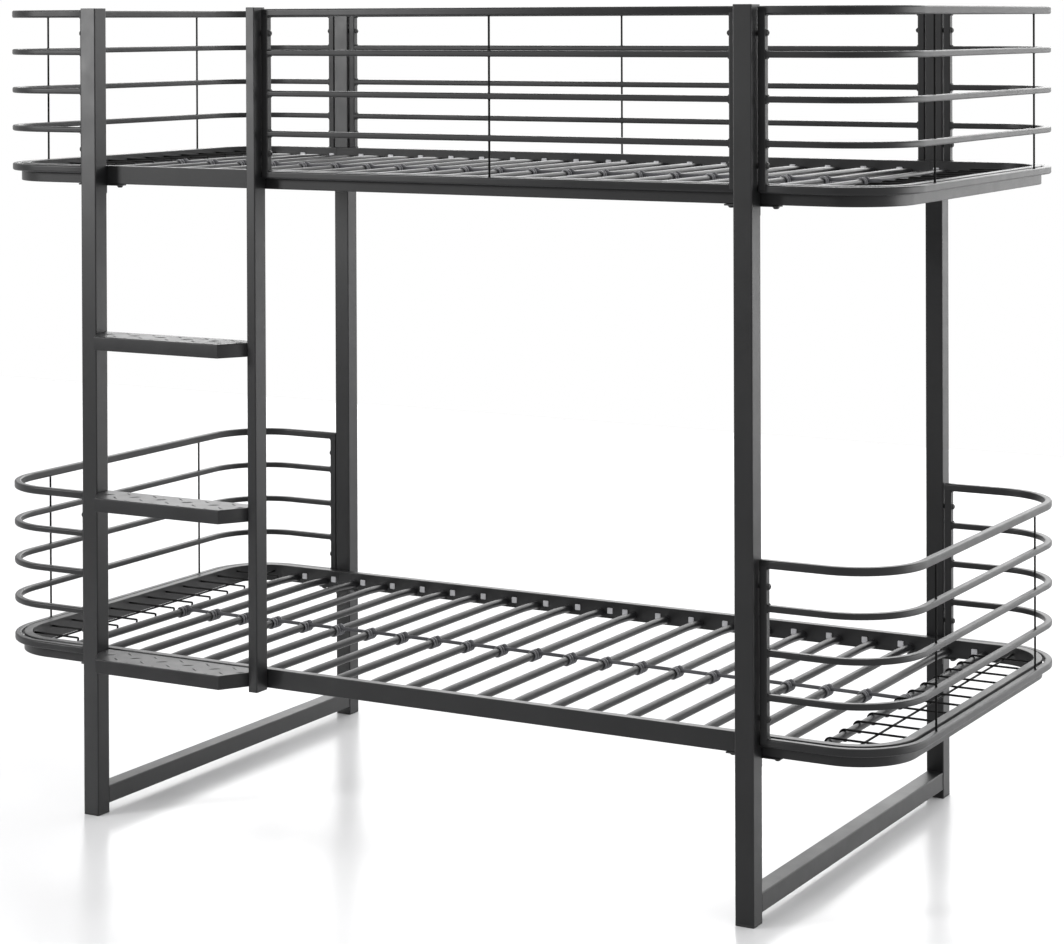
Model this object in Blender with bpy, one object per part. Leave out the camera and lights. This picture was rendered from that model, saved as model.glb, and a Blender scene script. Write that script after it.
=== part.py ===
"""Steel bunk bed with a three-tread side ladder, in metres, Z up.

The bed stands on four square posts.  Each bunk is a flat ring of rail with
rounded ends, carrying round slats, a centre rod and wire mesh in the ends.
Bent guards stand on the rings and are bolted to the posts.
"""
import math

import bmesh
import bpy

# ---- posts -------------------------------------------------------------
POST = 0.0380            # square post, outside
POST_WALL = 0.0015
POST_X = 0.7473          # post centres, either side of the middle
POST_Y = 0.4793          # post centres from the bed's long centre line
POST_BOTTOM = 0.0040     # underside of the tube, on its plastic foot
POST_TOP = 1.6797
TOP_PLATE = 0.0020       # welded plate that closes the top of a post
LADDER_X = -0.3377       # centre of the narrow ladder post
LADDER_W = 0.0211        # ladder post along the bed
LADDER_D = 0.0380        # ladder post across the bed
LADDER_BOTTOM = 0.3047
PLUG_LIP = 0.0020        # plug flange below the ladder post

# ---- bunk rings --------------------------------------------------------
LEVELS = {"upper": 1.3135, "lower": 0.3055}   # underside of each ring
RAIL_H = 0.0380
RAIL_W = 0.0180
RAIL_WALL = 0.0015
RING_Y = 0.4595          # outer face of the long rails
RING_X = 1.0190          # outer face of the end rails
RING_R = 0.1200          # outer corner radius
BUTT_GAP = 0.0004        # joint between long rail and end rail

# ---- slats, rod and mesh -----------------------------------------------
SLAT_COUNT = 22
SLAT_PITCH = 0.0824
SLAT_D = 0.0160
SLAT_Z = 0.0145          # slat centre above the ring's underside
SLAT_CLEAR = 0.0004
ROD_D = 0.0055
ROD_Z = 0.0225
ROD_Y = -0.0140          # the rod lies this far in front of the centre line
CLIP_D = 0.0210          # clip across the slat
CLIP_L = 0.0200
LUG = 0.0130             # square lug on the long rail beside each slat
LUG_T = 0.0020
LUG_SHIFT = 0.0222       # lug centre from its slat, towards the middle
LUG_Z = 0.0178
MESH_WIRE = 0.0034
MESH_PITCH = 0.0684
MESH_COUNT = 12
MESH_Z = 0.0248          # mesh wire centre above the ring's underside
MESH_HOOK = 0.0040       # reach of the wires past the last slat's centre
MESH_CLEAR = 0.0012      # gap between the mesh and the ring
CROSS_X = 0.9200         # cross wire, under the long wires
CROSS_SINK = 0.0024

# ---- guards ------------------------------------------------------------
GUARD_Y = 0.4705         # centre line of the guard's long sides
GUARD_X = 1.0325         # centre line of the guard's end
GUARD_R = 0.1340
BAR_D = 0.0146           # bar size across its run
UPRIGHT = 0.0150         # square end upright
UPRIGHT_GAP = 0.0025     # spacer gap between post and upright
BARS = (                 # (underside above the ring's underside, height)
    (0.0220, 0.0150),
    (0.1062, 0.0120),
    (0.1870, 0.0120),
    (0.2685, 0.0120),
    (0.3473, 0.0157),
)
UPRIGHT_Z = (0.0222, 0.3627)
GUARD_WIRE = 0.0040
END_WIRE_Y = 0.2750      # vertical wires on the bent guards
BOLT_Z = (0.0720, 0.3140)

# ---- brackets ----------------------------------------------------------
PLATE_HALF = 0.0550
PLATE_T = 0.0030
PLATE_DROP = 0.0004      # gap between plate and rail
LEG_H = 0.0190
LEG_INSET = 0.0010       # leg narrower than the post, each side
BITE = 0.0006            # depth a welded piece runs into its neighbour

# ---- floor bars and treads ---------------------------------------------
FLOOR_BAR_W = 0.0360
FLOOR_BAR_H = 0.0370
FLOOR_BAR_Z = 0.0185
FLOOR_BAR_WALL = 0.0015
END_GAP = 0.0004
TREAD_TOPS = {"lower": 0.3415, "middle": 0.6735, "upper": 1.0055}
TREAD_H = 0.0280
TREAD_T = 0.0020
TREAD_FRONT = 0.5510     # front edge from the bed's centre line
TREAD_CORNER = 0.0350    # run of the chamfer along the front edge
TREAD_SIDE = 0.4975      # where the chamfer meets the post line
SHOULDER_EASE = 0.4      # how far the skirt's inside follows at the chamfer's ends
CORNER_EASE = 0.2

# ---- bolts and feet ----------------------------------------------------
BOLT_D = 0.0060
HOLE_D = 0.0074
HOLE_BLIND = 0.0020      # inner end of a hole that pierces one wall only
HEAD_D = 0.0120
HEAD_H = 0.0045
HEAD_CLEAR = 0.0004
NUT_EXTRA = 0.0015       # how much taller the nut is than the bolt head
HOLE_REACH = 0.0300      # length of the ladder post's bolt holes
FOOT_LIP = 0.0040
FOOT_UP = 0.0150
FOOT_CLEAR = 0.0004

CENTRE_Y = (TREAD_FRONT - (POST_Y + POST / 2)) / 2   # bed line behind the box centre
ARC_STEPS = 5            # straight steps in each bent corner
ROUND_SIDES = 8
SLIM_SIDES = 6           # thin wires, shanks and nuts
OVERCUT = 0.0100         # how far a cutter runs past the open end of its tube
SIDES = {"left": -1, "right": 1}
FACES = {"front": -1, "back": 1}


# ---- materials ---------------------------------------------------------
def material(name, colour, roughness, metallic):
    """Principled material with one plain colour."""
    mat = bpy.data.materials.new(name)
    mat.use_nodes = True
    shader = mat.node_tree.nodes["Principled BSDF"]
    shader.inputs["Base Color"].default_value = (*colour, 1.0)
    shader.inputs["Roughness"].default_value = roughness
    shader.inputs["Metallic"].default_value = metallic
    return mat


# ---- mesh building blocks ----------------------------------------------
def add_box(bm, x, y, z):
    """Closed box between the pairs x, y and z."""
    corners = [bm.verts.new((i, j, k)) for i in sorted(x) for j in sorted(y) for k in sorted(z)]
    for quad in ((0, 1, 3, 2), (4, 6, 7, 5), (0, 4, 5, 1), (2, 3, 7, 6), (0, 2, 6, 4), (1, 5, 7, 3)):
        bm.faces.new([corners[i] for i in quad])


def loop_faces(bm, first, second):
    """Skin between two loops of the same length."""
    count = len(first)
    for i in range(count):
        j = (i + 1) % count
        bm.faces.new((first[i], first[j], second[j], second[i]))


def add_prism(bm, outline, low, high):
    """Closed upright prism on a plan outline."""
    base = [bm.verts.new((x, y, low)) for x, y in outline]
    top = [bm.verts.new((x, y, high)) for x, y in outline]
    loop_faces(bm, base, top)
    bm.faces.new(base[::-1])
    bm.faces.new(top)


def add_rod(bm, start, end, diameter, sides=ROUND_SIDES):
    """Closed round bar between two points that differ along one axis."""
    axis = max(range(3), key=lambda k: abs(end[k] - start[k]))
    across = [k for k in range(3) if k != axis]
    loops = []
    for point in (start, end):
        loop = []
        for i in range(sides):
            angle = 2 * math.pi * (i + 0.5) / sides
            spot = list(point)
            spot[across[0]] += diameter / 2 * math.cos(angle)
            spot[across[1]] += diameter / 2 * math.sin(angle)
            loop.append(bm.verts.new(spot))
        loops.append(loop)
    loop_faces(bm, loops[0], loops[1])
    bm.faces.new(loops[0][::-1])
    bm.faces.new(loops[1])


def bend_path(side, start_x, half_y, reach_x, radius):
    """Plan path from the front, round the two corners of one end, to the back."""
    points = [(side * start_x, -half_y)]
    for corner_y, turn in ((-(half_y - radius), -90.0), (half_y - radius, 0.0)):
        for i in range(ARC_STEPS + 1):
            angle = math.radians(turn + 90.0 * i / ARC_STEPS)
            x = reach_x - radius + radius * math.cos(angle)
            points.append((side * x, corner_y + radius * math.sin(angle)))
    points.append((side * start_x, half_y))
    return points


def path_normals(points):
    """Mitre vector at each point of a plan path, unit distance to its right."""
    count = len(points)
    normals = []
    for i in range(count):
        pieces = []
        for a, b in ((i - 1, i), (i, i + 1)):
            if a < 0 or b >= count:
                continue
            dx = points[b][0] - points[a][0]
            dy = points[b][1] - points[a][1]
            length = math.hypot(dx, dy)
            pieces.append((dy / length, -dx / length))
        nx = sum(p[0] for p in pieces)
        ny = sum(p[1] for p in pieces)
        size = math.hypot(nx, ny)
        cosine = (nx * pieces[0][0] + ny * pieces[0][1]) / size
        normals.append((nx / size / cosine, ny / size / cosine))
    return normals


def sweep_loops(bm, points, width, low, high):
    """Rectangular loops carried along a plan path."""
    loops = []
    for (x, y), (nx, ny) in zip(points, path_normals(points)):
        loop = []
        for out, z in ((-width / 2, low), (width / 2, low), (width / 2, high), (-width / 2, high)):
            loop.append(bm.verts.new((x + nx * out, y + ny * out, z)))
        loops.append(loop)
    return loops


def add_bar(bm, points, width, low, high):
    """Closed rectangular bar along a plan path."""
    loops = sweep_loops(bm, points, width, low, high)
    for first, second in zip(loops, loops[1:]):
        loop_faces(bm, first, second)
    bm.faces.new(loops[0][::-1])
    bm.faces.new(loops[-1])


def add_tube(bm, points, width, low, high, wall):
    """Open-ended rectangular tube along a plan path."""
    outer = sweep_loops(bm, points, width, low, high)
    inner = sweep_loops(bm, points, width - 2 * wall, low + wall, high - wall)
    for first, second in zip(outer, outer[1:]):
        loop_faces(bm, first, second)
    for first, second in zip(inner, inner[1:]):
        loop_faces(bm, second, first)
    loop_faces(bm, inner[0], outer[0])
    loop_faces(bm, outer[-1], inner[-1])


def finish(name, bm, mat, guide=False):
    """Turn a bmesh into a named object, outward facing, on the bed's centre line."""
    bmesh.ops.translate(bm, verts=bm.verts, vec=(0.0, CENTRE_Y, 0.0))
    bmesh.ops.recalc_face_normals(bm, faces=bm.faces)
    mesh = bpy.data.meshes.new(name)
    bm.to_mesh(mesh)
    bm.free()
    mesh.materials.append(mat)
    item = bpy.data.objects.new(name, mesh)
    bpy.context.collection.objects.link(item)
    if guide:
        item.hide_render = True
        item.display_type = "WIRE"
    return item


def combine(item, tool, operation):
    """Live exact Boolean against a hidden tool."""
    step = item.modifiers.new(operation.lower(), "BOOLEAN")
    step.operation = operation
    step.object = tool
    step.solver = "EXACT"
    step.use_self = operation == "UNION"


# ---- sub-parts ---------------------------------------------------------
def post_holes(name, post_x, y, starts, mat):
    """Hidden tool with the sideways bolt holes of one corner post."""
    bm = bmesh.new()
    for level, start in starts.items():
        for height in BOLT_Z:
            z = LEVELS[level] + height
            add_rod(bm, (post_x + start, y, z), (post_x + math.copysign(POST, -start), y, z), HOLE_D)
    return finish(name, bm, mat, guide=True)


def bracket_shape(bm, post_x, face, level):
    """Angle under the ring at one post: leg on the post, plate under the rail."""
    top = LEVELS[level] - PLATE_DROP
    inner = face * (POST_Y - POST / 2)
    leg = (inner + face * BITE, inner - face * PLATE_T)
    plate = (inner - face * BITE, face * (RING_Y - RAIL_W))
    half = POST / 2 - LEG_INSET
    add_box(bm, (post_x - half, post_x + half), leg, (top - LEG_H, top - BITE))
    add_box(bm, (post_x - PLATE_HALF, post_x + PLATE_HALF), plate, (top - PLATE_T, top))


def make_post(side_name, face_name, mats):
    """Corner post: open square tube, welded top plate and two ring brackets."""
    side = SIDES[side_name]
    face = FACES[face_name]
    cx = side * POST_X
    cy = face * POST_Y
    half = POST / 2
    name = f"post_{face_name}_{side_name}"
    bm = bmesh.new()
    add_box(bm, (cx - half, cx + half), (cy - half, cy + half), (POST_BOTTOM, POST_TOP))
    post = finish(name, bm, mats["steel"])
    bm = bmesh.new()
    bore = half - POST_WALL
    add_box(bm, (cx - bore, cx + bore), (cy - bore, cy + bore), (POST_BOTTOM - OVERCUT, POST_TOP - TOP_PLATE))
    combine(post, finish(f"guide_bore_{name}", bm, mats["steel"], guide=True), "DIFFERENCE")
    bm = bmesh.new()
    for level in LEVELS:
        bracket_shape(bm, cx, face, level)
    combine(post, finish(f"guide_bracket_{name}", bm, mats["steel"], guide=True), "UNION")
    through = (face_name, side_name) != ("front", "left")
    starts = {"upper": -side * (POST if through else HOLE_BLIND), "lower": -side * HOLE_BLIND}
    holes = post_holes(f"guide_holes_{name}", cx, face * GUARD_Y, starts, mats["steel"])
    combine(post, holes, "DIFFERENCE")


def make_ladder_post(mats):
    """Narrow front post that carries the treads, hung from the rings."""
    cy = -POST_Y
    x = (LADDER_X - LADDER_W / 2, LADDER_X + LADDER_W / 2)
    y = (cy - LADDER_D / 2, cy + LADDER_D / 2)
    bm = bmesh.new()
    add_box(bm, x, y, (LADDER_BOTTOM, POST_TOP))
    post = finish("ladder_post", bm, mats["steel"])
    bm = bmesh.new()
    inset = POST_WALL
    add_box(bm, (x[0] + inset, x[1] - inset), (y[0] + inset, y[1] - inset),
            (LADDER_BOTTOM - OVERCUT, POST_TOP - TOP_PLATE))
    combine(post, finish("guide_bore_ladder", bm, mats["steel"], guide=True), "DIFFERENCE")
    bm = bmesh.new()
    for height in BOLT_Z:
        z = LEVELS["upper"] + height
        add_rod(bm, (LADDER_X + HOLE_BLIND, -GUARD_Y, z), (LADDER_X + HOLE_REACH, -GUARD_Y, z), HOLE_D)
    combine(post, finish("guide_holes_ladder", bm, mats["steel"], guide=True), "DIFFERENCE")


def make_plug(name, centre, size, top, lip, mats):
    """Plastic plug: flange under a tube and a block inside it."""
    cx, cy = centre
    wx, wy = size
    inset = POST_WALL + FOOT_CLEAR
    low = top - lip
    bm = bmesh.new()
    add_box(bm, (cx - wx / 2, cx + wx / 2), (cy - wy / 2, cy + wy / 2), (low, top - FOOT_CLEAR))
    foot = finish(name, bm, mats["plastic"])
    bm = bmesh.new()
    add_box(bm, (cx - wx / 2 + inset, cx + wx / 2 - inset), (cy - wy / 2 + inset, cy + wy / 2 - inset),
            (top - lip / 2, top + FOOT_UP))
    combine(foot, finish(f"guide_{name}", bm, mats["plastic"], guide=True), "UNION")


def make_floor_bar(side_name, mats):
    """Low cross tube between the front and back post of one end."""
    cx = SIDES[side_name] * POST_X
    reach = POST_Y - POST / 2 - END_GAP
    bm = bmesh.new()
    add_tube(bm, [(cx, -reach), (cx, reach)], FLOOR_BAR_W, FLOOR_BAR_Z,
             FLOOR_BAR_Z + FLOOR_BAR_H, FLOOR_BAR_WALL)
    finish(f"floor_bar_{side_name}", bm, mats["steel"])


def tread_outline(inset):
    """Plan of a tread: straight back, short sides, chamfered front corners."""
    left = -(POST_X - POST / 2) + END_GAP + inset
    right = LADDER_X - LADDER_W / 2 - END_GAP - inset
    back = -(POST_Y - POST / 2) - inset
    front = -TREAD_FRONT + inset
    shoulder = -TREAD_SIDE + inset * SHOULDER_EASE
    run = TREAD_CORNER + inset * CORNER_EASE
    left_side = [(left, back), (left, shoulder), (left + run, front)]
    right_side = [(right - run, front), (right, shoulder), (right, back)]
    return left_side + right_side


def make_tread(level, mats):
    """Pressed tray tread: flat top with a skirt all round, open below."""
    top = TREAD_TOPS[level]
    bm = bmesh.new()
    add_prism(bm, tread_outline(0.0), top - TREAD_H, top)
    tread = finish(f"tread_{level}", bm, mats["steel"])
    bm = bmesh.new()
    add_prism(bm, tread_outline(TREAD_T), top - TREAD_H - OVERCUT, top - TREAD_T)
    combine(tread, finish(f"guide_tread_{level}", bm, mats["steel"], guide=True), "DIFFERENCE")


def add_lugs(bm, low, face, first, last):
    """Square lugs on the inner face of a long side, between two stations."""
    inner = face * (RING_Y - RAIL_W)
    half = LUG / 2
    for i in range(SLAT_COUNT):
        x = (i - (SLAT_COUNT - 1) / 2) * SLAT_PITCH
        x -= math.copysign(LUG_SHIFT, x)
        if x - half > first and x + half < last:
            add_box(bm, (x - half, x + half), (inner + face * BITE, inner - face * LUG_T),
                    (low + LUG_Z - half, low + LUG_Z + half))


def make_long_rail(level, face_name, mats):
    """Straight rail of a ring with a small square lug beside every slat."""
    face = FACES[face_name]
    low = LEVELS[level]
    y = face * (RING_Y - RAIL_W / 2)
    reach = POST_X - BUTT_GAP / 2
    bm = bmesh.new()
    add_tube(bm, [(-reach, y), (reach, y)], RAIL_W, low, low + RAIL_H, RAIL_WALL)
    rail = finish(f"rail_{level}_{face_name}", bm, mats["steel"])
    bm = bmesh.new()
    add_lugs(bm, low, face, -reach, reach)
    combine(rail, finish(f"guide_lugs_{level}_{face_name}", bm, mats["steel"], guide=True), "UNION")


def make_end_rail(level, side_name, mats):
    """Rounded end of a ring, bent from the same rail."""
    low = LEVELS[level]
    half = RAIL_W / 2
    side = SIDES[side_name]
    start = POST_X + BUTT_GAP / 2
    path = bend_path(side, start, RING_Y - half, RING_X - half, RING_R - half)
    bm = bmesh.new()
    add_tube(bm, path, RAIL_W, low, low + RAIL_H, RAIL_WALL)
    rail = finish(f"rail_{level}_end_{side_name}", bm, mats["steel"])
    bm = bmesh.new()
    first, last = sorted((side * start, side * (RING_X - RING_R)))
    for face in FACES.values():
        add_lugs(bm, low, face, first, last)
    combine(rail, finish(f"guide_lugs_{level}_{side_name}", bm, mats["steel"], guide=True), "UNION")


def make_slats(level, side_name, mats):
    """Half a slat base: round slats clipped to one centre rod."""
    side = SIDES[side_name]
    low = LEVELS[level]
    reach = RING_Y - RAIL_W - SLAT_CLEAR
    count = SLAT_COUNT // 2
    spots = [side * (i + 0.5) * SLAT_PITCH for i in range(count)]
    bm = bmesh.new()
    for x in spots:
        add_rod(bm, (x, -reach, low + SLAT_Z), (x, reach, low + SLAT_Z), SLAT_D)
    slats = finish(f"slats_{level}_{side_name}", bm, mats["steel"])
    bm = bmesh.new()
    grip = CLIP_D / 2
    middle = low + SLAT_Z
    for x in spots:
        add_box(bm, (x - grip, x + grip), (ROD_Y - CLIP_L / 2, ROD_Y + CLIP_L / 2), (middle - grip, middle + grip))
    end = abs(spots[-1]) + SLAT_D / 2
    z = low + ROD_Z
    add_box(bm, (side * END_GAP, side * end), (ROD_Y - ROD_D / 2, ROD_Y + ROD_D / 2), (z - ROD_D / 2, z + ROD_D / 2))
    combine(slats, finish(f"guide_clips_{level}_{side_name}", bm, mats["steel"], guide=True), "UNION")


def make_mesh(level, side_name, mats):
    """Wire grid that fills the rounded end beyond the last slat."""
    side = SIDES[side_name]
    low = LEVELS[level]
    half = MESH_WIRE / 2
    last_slat = (SLAT_COUNT - 1) / 2 * SLAT_PITCH
    inner_r = RING_R - RAIL_W
    z = low + MESH_Z
    bm = bmesh.new()
    for i in range(MESH_COUNT):
        y = (i - (MESH_COUNT - 1) / 2) * MESH_PITCH
        over = max(abs(y) + half - (RING_Y - RING_R), 0.0)
        end = RING_X - RING_R + math.sqrt(inner_r ** 2 - over ** 2) - (2 if over else 1) * MESH_CLEAR
        add_box(bm, (side * (last_slat - MESH_HOOK), side * end), (y - half, y + half), (z - half, z + half))
    grid = finish(f"mesh_{level}_{side_name}", bm, mats["wire"])
    bm = bmesh.new()
    dx = CROSS_X - (RING_X - RING_R)
    reach = RING_Y - RING_R + math.sqrt(inner_r ** 2 - dx ** 2) - 2 * MESH_CLEAR
    cz = z - CROSS_SINK
    add_box(bm, (side * (CROSS_X - half), side * (CROSS_X + half)), (-reach, reach), (cz - half, cz + half))
    combine(grid, finish(f"guide_cross_{level}_{side_name}", bm, mats["wire"], guide=True), "UNION")


def guard_bars(bm, level, path):
    """The five bars of a guard along one plan path."""
    low = LEVELS[level]
    for base, height in BARS:
        add_bar(bm, path, BAR_D, low + base, low + base + height)


def guard_finish(name, bm, level, uprights, wires, mats):
    """Weld uprights and wires to the bars and drill the bolt holes."""
    low = LEVELS[level]
    half = UPRIGHT / 2
    guard = finish(name, bm, mats["steel"])
    bm = bmesh.new()
    for x, y in uprights:
        add_box(bm, (x - half, x + half), (y - half, y + half), (low + UPRIGHT_Z[0], low + UPRIGHT_Z[1]))
    for x, y in wires:
        bottom = low + BARS[0][0] + BARS[0][1] / 2
        top = low + BARS[-1][0] + BARS[-1][1] / 2
        add_rod(bm, (x, y, bottom), (x, y, top), GUARD_WIRE, sides=SLIM_SIDES)
    combine(guard, finish(f"guide_welds_{name}", bm, mats["steel"], guide=True), "UNION")
    bm = bmesh.new()
    for x, y in uprights:
        for height in BOLT_Z:
            z = low + height
            add_rod(bm, (x - UPRIGHT, y, z), (x + UPRIGHT, y, z), HOLE_D)
    combine(guard, finish(f"guide_holes_{name}", bm, mats["steel"], guide=True), "DIFFERENCE")


def make_end_guard(level, side_name, mats):
    """Bent guard round one end of a bunk."""
    side = SIDES[side_name]
    start = POST_X + POST / 2 + UPRIGHT_GAP + UPRIGHT / 2
    bm = bmesh.new()
    guard_bars(bm, level, bend_path(side, start, GUARD_Y, GUARD_X, GUARD_R))
    uprights = [(side * start, face * GUARD_Y) for face in FACES.values()]
    wires = [(side * GUARD_X, face * END_WIRE_Y) for face in FACES.values()]
    guard_finish(f"guard_{level}_{side_name}", bm, level, uprights, wires, mats)


def make_long_guard(face_name, start, end, mats):
    """Straight guard panel on a long side of the upper bunk."""
    y = FACES[face_name] * GUARD_Y
    bm = bmesh.new()
    guard_bars(bm, "upper", [(start, y), (end, y)])
    uprights = [(start, y), (end, y)]
    guard_finish(f"guard_upper_{face_name}", bm, "upper", uprights, [((start + end) / 2, y)], mats)


def make_bolt(name, seat, far, y, z, mats):
    """Button-head bolt from its seat; nut either outside the far face or inside the tube."""
    way = 1 if far > seat else -1
    bm = bmesh.new()
    head = seat - way * HEAD_CLEAR
    add_rod(bm, (head - way * HEAD_H, y, z), (head, y, z), HEAD_D)
    bolt = finish(name, bm, mats["zinc"])
    bm = bmesh.new()
    tip = far + way * (HEAD_CLEAR + HEAD_H)
    add_rod(bm, (head - way * HEAD_H / 2, y, z), (tip, y, z), BOLT_D, sides=SLIM_SIDES)
    combine(bolt, finish(f"guide_shank_{name}", bm, mats["zinc"], guide=True), "UNION")
    bm = bmesh.new()
    nut = far + way * HEAD_CLEAR
    depth = way * (HEAD_H + NUT_EXTRA)
    add_rod(bm, (nut, y, z), (nut + depth, y, z), HEAD_D, sides=SLIM_SIDES)
    combine(bolt, finish(f"guide_nut_{name}", bm, mats["zinc"], guide=True), "UNION")


def make_guard_bolts(mats):
    """Sideways bolts that hold the guards to the posts."""
    outer = POST_X + POST / 2 + UPRIGHT_GAP + UPRIGHT
    inner = POST_X - POST / 2 - UPRIGHT_GAP - UPRIGHT
    inside = POST_X + POST / 2 - POST_WALL
    for level in LEVELS:
        for face_name, face in FACES.items():
            for side_name, side in SIDES.items():
                through = level == "upper" and (face_name, side_name) != ("front", "left")
                far = inner if through else inside
                for place, height in zip(("low", "high"), BOLT_Z):
                    name = f"bolt_{level}_{face_name}_{side_name}_{place}"
                    make_bolt(name, side * outer, side * far, face * GUARD_Y,
                              LEVELS[level] + height, mats)
    seat = LADDER_X + LADDER_W / 2 + UPRIGHT_GAP + UPRIGHT
    for place, height in zip(("low", "high"), BOLT_Z):
        make_bolt(f"bolt_ladder_{place}", seat, LADDER_X + LADDER_W / 2 - POST_WALL, -GUARD_Y,
                  LEVELS["upper"] + height, mats)


def build():
    """Clear the scene and make every sub-part."""
    for item in list(bpy.data.objects):
        bpy.data.objects.remove(item, do_unlink=True)
    mats = {
        "steel": material("black_powder_coat", (0.030, 0.031, 0.033), 0.45, 0.0),
        "wire": material("black_wire", (0.020, 0.020, 0.021), 0.40, 0.0),
        "zinc": material("dark_fastener", (0.045, 0.045, 0.048), 0.35, 0.8),
        "plastic": material("black_plastic", (0.018, 0.018, 0.018), 0.60, 0.0),
    }
    for face_name, face in FACES.items():
        for side_name, side in SIDES.items():
            make_post(side_name, face_name, mats)
            centre = (side * POST_X, face * POST_Y)
            make_plug(f"foot_{face_name}_{side_name}", centre, (POST, POST), POST_BOTTOM, FOOT_LIP, mats)
    make_ladder_post(mats)
    make_plug("ladder_plug", (LADDER_X, -POST_Y), (LADDER_W, LADDER_D), LADDER_BOTTOM, PLUG_LIP, mats)
    for side_name in SIDES:
        make_floor_bar(side_name, mats)
    for level in TREAD_TOPS:
        make_tread(level, mats)
    for level in LEVELS:
        for face_name in FACES:
            make_long_rail(level, face_name, mats)
        for side_name in SIDES:
            make_end_rail(level, side_name, mats)
            make_slats(level, side_name, mats)
            make_mesh(level, side_name, mats)
            make_end_guard(level, side_name, mats)
    edge = UPRIGHT_GAP + UPRIGHT / 2
    post_inner = POST_X - POST / 2 - edge
    make_long_guard("front", LADDER_X + LADDER_W / 2 + edge, post_inner, mats)
    make_long_guard("back", -post_inner, post_inner, mats)
    make_guard_bolts(mats)


build()
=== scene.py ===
"""Finished look of the black steel bunk bed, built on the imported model, in metres.

Tubes, wires and sheet pieces are surfaces worked out with numpy: a closed
profile carried along a path, or a height worked out over a plan grid.
"""
import math

import bpy
import numpy as np
from mathutils import Matrix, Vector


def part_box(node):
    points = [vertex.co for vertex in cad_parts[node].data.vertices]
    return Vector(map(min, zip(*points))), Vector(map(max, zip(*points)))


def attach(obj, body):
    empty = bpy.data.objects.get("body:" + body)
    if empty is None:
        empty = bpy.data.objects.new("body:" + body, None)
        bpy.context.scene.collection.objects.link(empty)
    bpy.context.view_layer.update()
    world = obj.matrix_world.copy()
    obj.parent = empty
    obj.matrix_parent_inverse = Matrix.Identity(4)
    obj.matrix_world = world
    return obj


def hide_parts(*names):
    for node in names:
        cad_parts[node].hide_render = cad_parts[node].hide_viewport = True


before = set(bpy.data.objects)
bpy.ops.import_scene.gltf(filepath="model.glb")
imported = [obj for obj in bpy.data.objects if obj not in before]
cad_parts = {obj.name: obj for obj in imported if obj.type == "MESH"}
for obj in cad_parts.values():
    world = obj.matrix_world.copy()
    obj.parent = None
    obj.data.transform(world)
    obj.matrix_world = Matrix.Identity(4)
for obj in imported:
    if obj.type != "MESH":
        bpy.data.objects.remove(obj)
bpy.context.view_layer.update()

SIDES = {"left": -1.0, "right": 1.0}
FACES = {"front": -1.0, "back": 1.0}
LEVELS = ("upper", "lower")
UP = np.array((0.0, 0.0, 1.0))
BACKWARD = (0.0, 1.0, 0.0)

# ---- sizes shared with the solids ---------------------------------------
POST_ROUND = 0.0022        # outside corner radius of the square posts
POST_EASE = 0.0009         # rounding of the posts' ends
RAIL_ROUND = 0.0015        # of a ring rail
BAR_ROUND = 0.0034         # of a guard bar
UPRIGHT_ROUND = 0.0020     # of a guard upright
RING_R = 0.1200            # outside corner radius of a ring
GUARD_R = 0.1340           # corner radius of a guard's centre line
RAIL_W = 0.0180            # rail, outer face to inner face
BAR_W = 0.0146             # guard bar, outer face to inner face
UPRIGHT = 0.0150           # square upright of a guard
# underside, above that of the rail, and height of each guard bar
BARS = ((0.0220, 0.0150), (0.1062, 0.0120), (0.1870, 0.0120), (0.2685, 0.0120), (0.3473, 0.0157))
GUARD_WIRE = 0.0043
END_WIRE_Y = 0.2750        # wires of a bent guard, from the middle of the bed
GAP = 0.0025               # spacer between post and guard upright
BOLT_Z = (0.0720, 0.3140)  # guard bolts above the rail's underside
SPACER_R = 0.0050
SHAFT_R = 0.0020           # hidden middle of a washer or spacer

SLAT_COUNT = 22
SLAT_PITCH = 0.0824
SLAT_D = 0.0160
SLAT_Z = 0.0145            # slat's centre above its rail's underside
SLAT_LIFT = 0.0022         # a slat's middle above its mean height, and its ends below
SLAT_EASE = 0.0900         # length of a slat's bend near each rail
LUG = 0.0130               # square lug beside a slat
LUG_ROUND = 0.0016
LUG_SHIFT = 0.0222         # lug from its slat, toward the middle of the bed
LUG_Z = 0.0178             # lug's centre above its rail's underside
LINK_Y = -0.0140           # the centre wire lies this far in front of the centre line
LINK_D = 0.0076            # centre wire between slats, shown stouter than where it is wound
WRAP_D = 0.0042            # centre wire where it is wound round a slat
WRAP_TURNS = 3.7
WRAP_PITCH = 0.0088

MESH_WIRE = 0.0044         # wire of the grids in the rounded ends
MESH_PITCH = 0.0684
MESH_COUNT = 12
CROSS_X = 0.9280           # cross wire from the middle of the bed
CROSS_SINK = 0.0034        # cross wire below the long wires
BEND_R = 0.0030            # bend of a grid wire beside the last slat
MESH_DRIFT = 0.0044        # sideways run of a grid wire as it curls
BITE = 0.0002              # how far touching wires sink into each other

SHEET = 0.0030             # thickness of the ring brackets
SHEET_ROUND = 0.0008
SHEET_EASE = 0.0006
SHEET_GAP = 0.0004         # bracket below its rail
PLATE_HALF = 0.0550        # half the length of a bracket's plate
LEG_W = 0.0360
LEG_DROP = 0.0190
LEG_SET = 0.0013           # middle of a bracket's leg off its post
BRACKET_BOLT = 0.0450      # bracket bolt from its post's centre
BRACKET_SEAT = 0.0036      # bracket bolt's seat below the rail

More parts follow.
